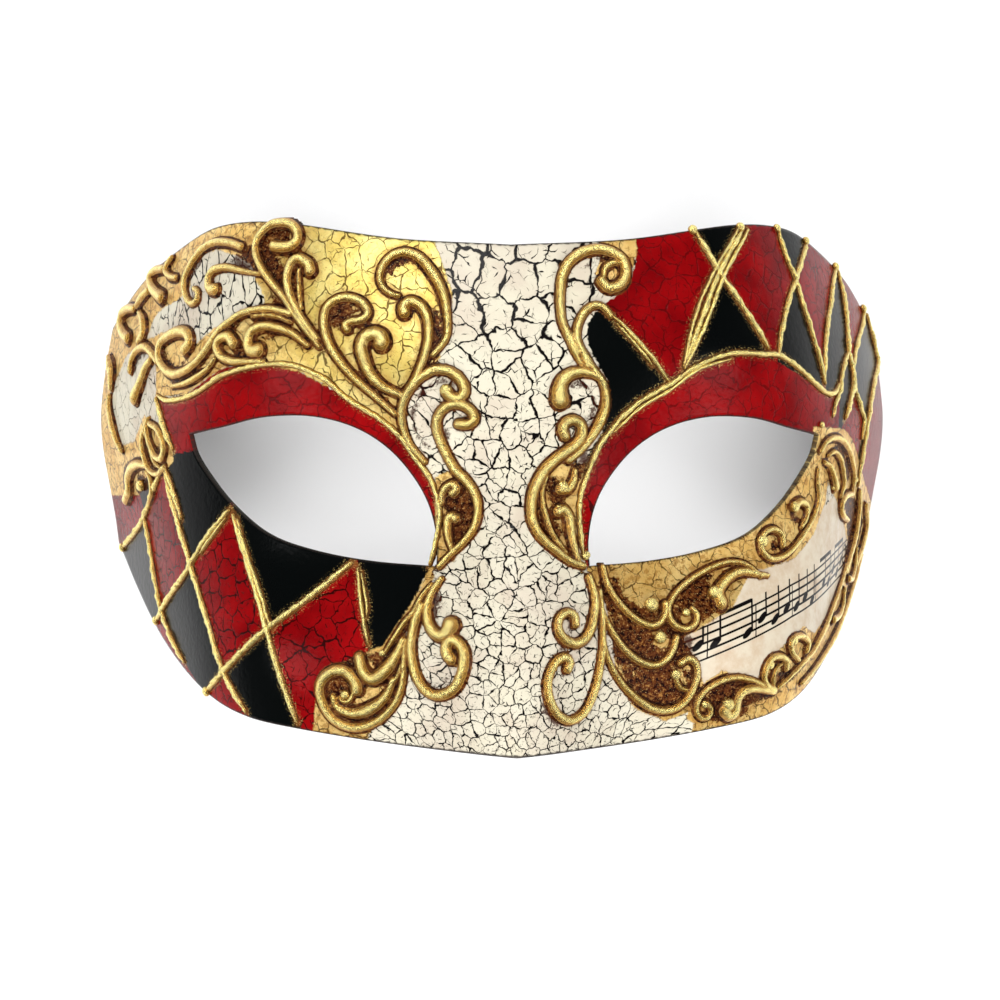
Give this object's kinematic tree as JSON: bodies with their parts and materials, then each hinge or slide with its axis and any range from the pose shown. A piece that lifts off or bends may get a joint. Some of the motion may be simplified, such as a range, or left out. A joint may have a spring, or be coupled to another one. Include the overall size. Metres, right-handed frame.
{
  "type": "half mask",
  "caption": "Half mask for the brow, cheeks and nose: a thin vaulted shell with almond eye holes, piped scrolls and lattice lines.",
  "frame": {"origin": "centre of the mask's outline, on the plane that the rear edges of its two temples rest on", "axes": "+Z out of the face, +Y to the forehead, +X to the right of someone who faces the mask"},
  "size_m": [0.177, 0.1052, 0.0885],
  "materials": {
    "lacquer": "gloss varnish over crackled paint"
  },
  "bodies": {
    "root": {"half_mask": "lacquer"}
  },
  "joints": []
}
